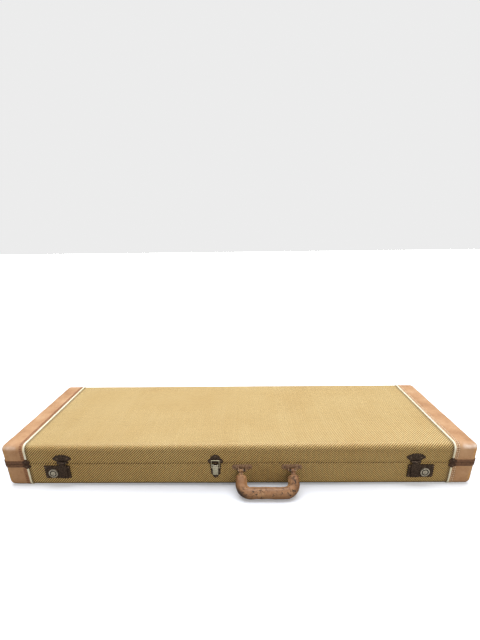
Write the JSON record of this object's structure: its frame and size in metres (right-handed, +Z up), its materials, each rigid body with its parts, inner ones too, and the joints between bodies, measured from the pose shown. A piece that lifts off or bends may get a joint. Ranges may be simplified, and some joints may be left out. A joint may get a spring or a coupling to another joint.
{
  "type": "guitar case",
  "caption": "Rectangular hard guitar case: cloth-covered plywood base and hinged lid, leather ends, locks, draw latch, drop handle and plush-lined inside with a lidded pocket.",
  "frame": {"origin": "centre of the bottom face that the closed case lies on", "axes": "+X along the length, +Y from the handle side to the hinge side, +Z up through the lid"},
  "size_m": [1.0602, 0.4218, 0.1062],
  "materials": {
    "plywood": "matt",
    "tweed": "woven",
    "leather": "worn",
    "handle_leather": "worn",
    "piping": "satin",
    "oxidised_metal": "dull",
    "nails": "dull",
    "nickel": "tarnished",
    "steel": "satin",
    "plush": "plush"
  },
  "bodies": {
    "base": {"base_bottom_panel": "plywood", "base_front_wall": "plywood", "base_back_wall": "plywood", "base_end_walls": "plywood", "base_cloth": "tweed", "base_cap_left": "leather", "base_cap_right": "leather", "base_piping": "piping", "base_rails": "oxidised_metal", "base_nails": "nails", "base_floor_pad": "plush", "base_wall_lining": "plush", "neck_cradle": "plush", "corner_pads": "plush", "compartment_walls": "plush", "compartment_ledge": "plush", "compartment_hinge_tape": "plush", "lock_case_left": "oxidised_metal", "lock_case_right": "oxidised_metal", "lock_spring_left": "steel", "lock_spring_right": "steel", "handle_plate_left": "oxidised_metal", "handle_plate_right": "oxidised_metal", "handle_pins": "steel", "latch_base_plate": "oxidised_metal", "latch_pin": "steel", "hinge_leaves_base": "oxidised_metal", "hinge_pins": "steel", "hinge_screws_base": "nails"},
    "lid": {"lid_top_panel": "plywood", "lid_front_wall": "plywood", "lid_back_wall": "plywood", "lid_end_walls": "plywood", "lid_cloth": "tweed", "lid_cap_left": "leather", "lid_cap_right": "leather", "lid_piping": "piping", "lid_rails": "oxidised_metal", "lid_nails": "nails", "lid_pad": "plush", "lid_wall_lining": "plush", "hasp_plate_left": "oxidised_metal", "hasp_plate_right": "oxidised_metal", "hasp_pins": "steel", "latch_catch": "oxidised_metal", "hinge_leaves_lid": "oxidised_metal", "hinge_screws_lid": "nails"},
    "hasp_left": {"hasp_left": "oxidised_metal"},
    "hasp_right": {"hasp_right": "oxidised_metal"},
    "lock_slide_left": {"lock_knob_left": "nickel"},
    "lock_slide_right": {"lock_knob_right": "nickel"},
    "key_plug_left": {"lock_key_plug_left": "nickel"},
    "key_plug_right": {"lock_key_plug_right": "nickel"},
    "latch_lever": {"latch_lever": "nickel"},
    "latch_bail": {"latch_bail": "nickel"},
    "handle": {"handle_core": "steel", "handle_grip": "handle_leather"},
    "compartment_lid": {"compartment_lid": "plush", "compartment_pull_tab": "handle_leather"}
  },
  "joints": [
    {"name": "lid_hinge", "type": "hinge", "parent": "base", "child": "lid", "pos_m": [0, 0.1818, 0.059], "axis": [-1, 0, 0], "range_deg": [0, 105]},
    {"name": "hasp_left_hinge", "type": "hinge", "parent": "lid", "child": "hasp_left", "pos_m": [-0.3935, -0.1826, 0.063], "axis": [-1, 0, 0], "range_deg": [0, 125]},
    {"name": "hasp_right_hinge", "type": "hinge", "parent": "lid", "child": "hasp_right", "pos_m": [0.3935, -0.1826, 0.063], "axis": [-1, 0, 0], "range_deg": [0, 125]},
    {"name": "lock_left_slide", "type": "slide", "parent": "base", "child": "lock_slide_left", "axis": [-1, 0, 0], "range_m": [0, 0.0045], "stiffness_N_per_m": 500, "springref_m": -0.001, "deforming": ["lock_spring_left"]},
    {"name": "lock_right_slide", "type": "slide", "parent": "base", "child": "lock_slide_right", "axis": [1, 0, 0], "range_m": [0, 0.0045], "stiffness_N_per_m": 500, "springref_m": -0.001, "deforming": ["lock_spring_right"]},
    {"name": "key_left_turn", "type": "hinge", "parent": "lock_slide_left", "child": "key_plug_left", "pos_m": [-0.4155, -0.187, 0.0385], "axis": [0, 1, 0], "range_deg": [0, 90]},
    {"name": "key_right_turn", "type": "hinge", "parent": "lock_slide_right", "child": "key_plug_right", "pos_m": [0.4155, -0.187, 0.0385], "axis": [0, 1, 0], "range_deg": [0, 90]},
    {"name": "latch_lever_hinge", "type": "hinge", "parent": "base", "child": "latch_lever", "pos_m": [-0.05, -0.1829, 0.0562], "axis": [-1, 0, 0], "range_deg": [0, 100]},
    {"name": "latch_bail_hinge", "type": "hinge", "parent": "latch_lever", "child": "latch_bail", "pos_m": [-0.05, -0.1829, 0.0502], "axis": [-1, 0, 0], "range_deg": [-100, 0]},
    {"name": "handle_hinge", "type": "hinge", "parent": "base", "child": "handle", "pos_m": [0.065, -0.1882, 0.046], "axis": [-1, 0, 0], "range_deg": [0, 115]},
    {"name": "compartment_lid_hinge", "type": "hinge", "parent": "base", "child": "compartment_lid", "pos_m": [-0.082, -0.1608, 0.0383], "axis": [1, 0, 0], "range_deg": [0, 92]}
  ],
  "couplings": [
    {"joint": "latch_bail_hinge", "follows": "latch_lever_hinge", "ratio": -1}
  ]
}
